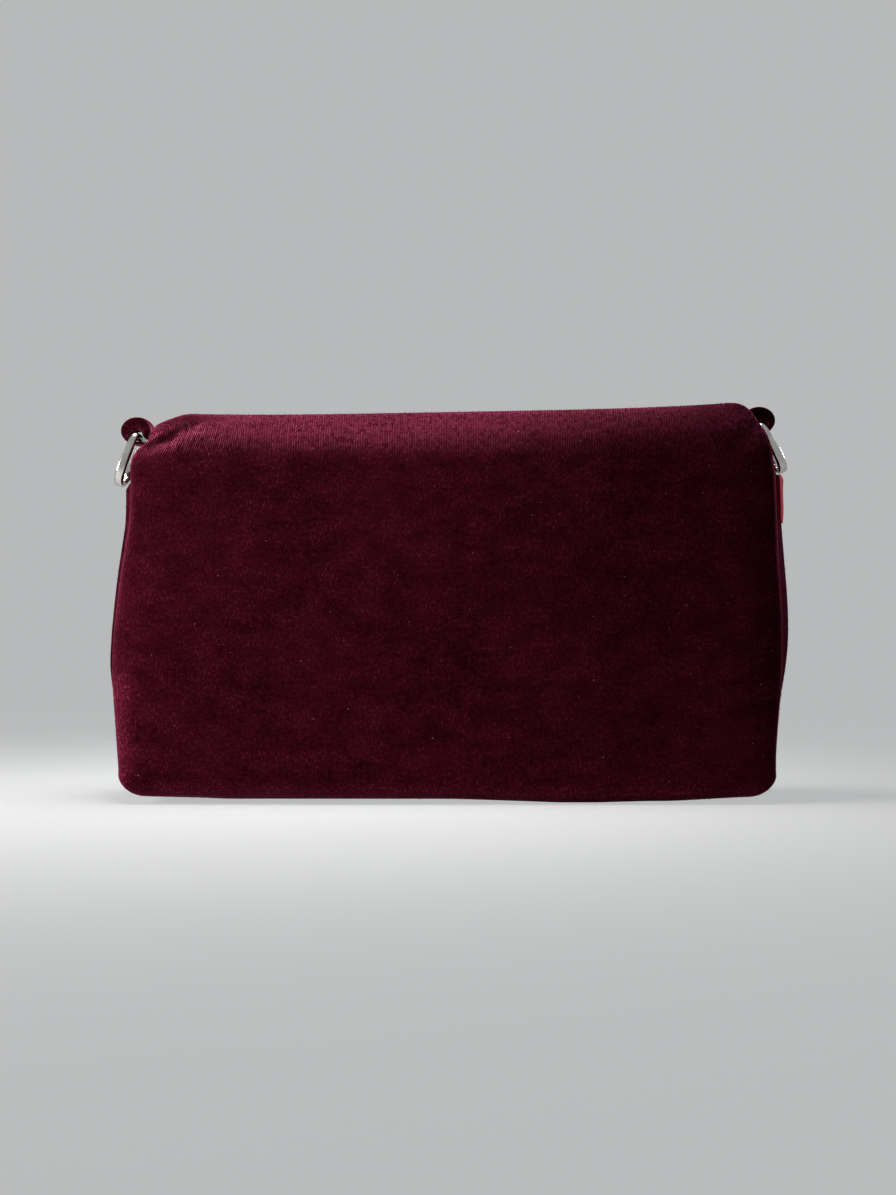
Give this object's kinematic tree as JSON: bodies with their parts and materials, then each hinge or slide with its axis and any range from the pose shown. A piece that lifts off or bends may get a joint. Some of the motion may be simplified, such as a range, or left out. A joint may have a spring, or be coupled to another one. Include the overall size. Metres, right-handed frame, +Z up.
{
  "type": "velvet clutch",
  "caption": "Burgundy velvet flap clutch bag with satin lining, side gussets and a loose metal D-ring in a velvet tab at each top corner.",
  "frame": {"origin": "middle of the footprint, on the surface the bag stands on", "axes": "+X along the width, to the right as seen from behind the bag; +Y from the back panel to the flap side; +Z up"},
  "size_m": [0.259, 0.0569, 0.1519],
  "materials": {
    "velvet": "short-pile burgundy velvet",
    "satin": "smooth red satin",
    "board": "stiff grey board",
    "nickel": "polished nickel plate",
    "magnet": "plated disc magnet"
  },
  "bodies": {
    "bag": {"velvet_wrap": "velvet", "lining_strip": "satin", "board_front": "board", "board_base": "board", "board_back": "board", "board_flap": "board", "magnet_front": "magnet", "magnet_flap": "magnet", "gusset_left": "velvet", "gusset_lining_left": "satin", "tab_left": "velvet", "gusset_right": "velvet", "gusset_lining_right": "satin", "tab_right": "velvet", "seam_ribbon": "satin"},
    "left_ring": {"d_ring_left": "nickel"},
    "right_ring": {"d_ring_right": "nickel"}
  },
  "joints": [
    {"name": "left_ring_swing", "type": "hinge", "parent": "bag", "child": "left_ring", "pos_m": [-0.1194, -0.0005, 0.1388], "axis": [0.1045, 0.9945, 0], "range_deg": [0, 150]},
    {"name": "right_ring_swing", "type": "hinge", "parent": "bag", "child": "right_ring", "pos_m": [0.1194, -0.0005, 0.1428], "axis": [0.1045, -0.9945, 0], "range_deg": [0, 150]}
  ]
}
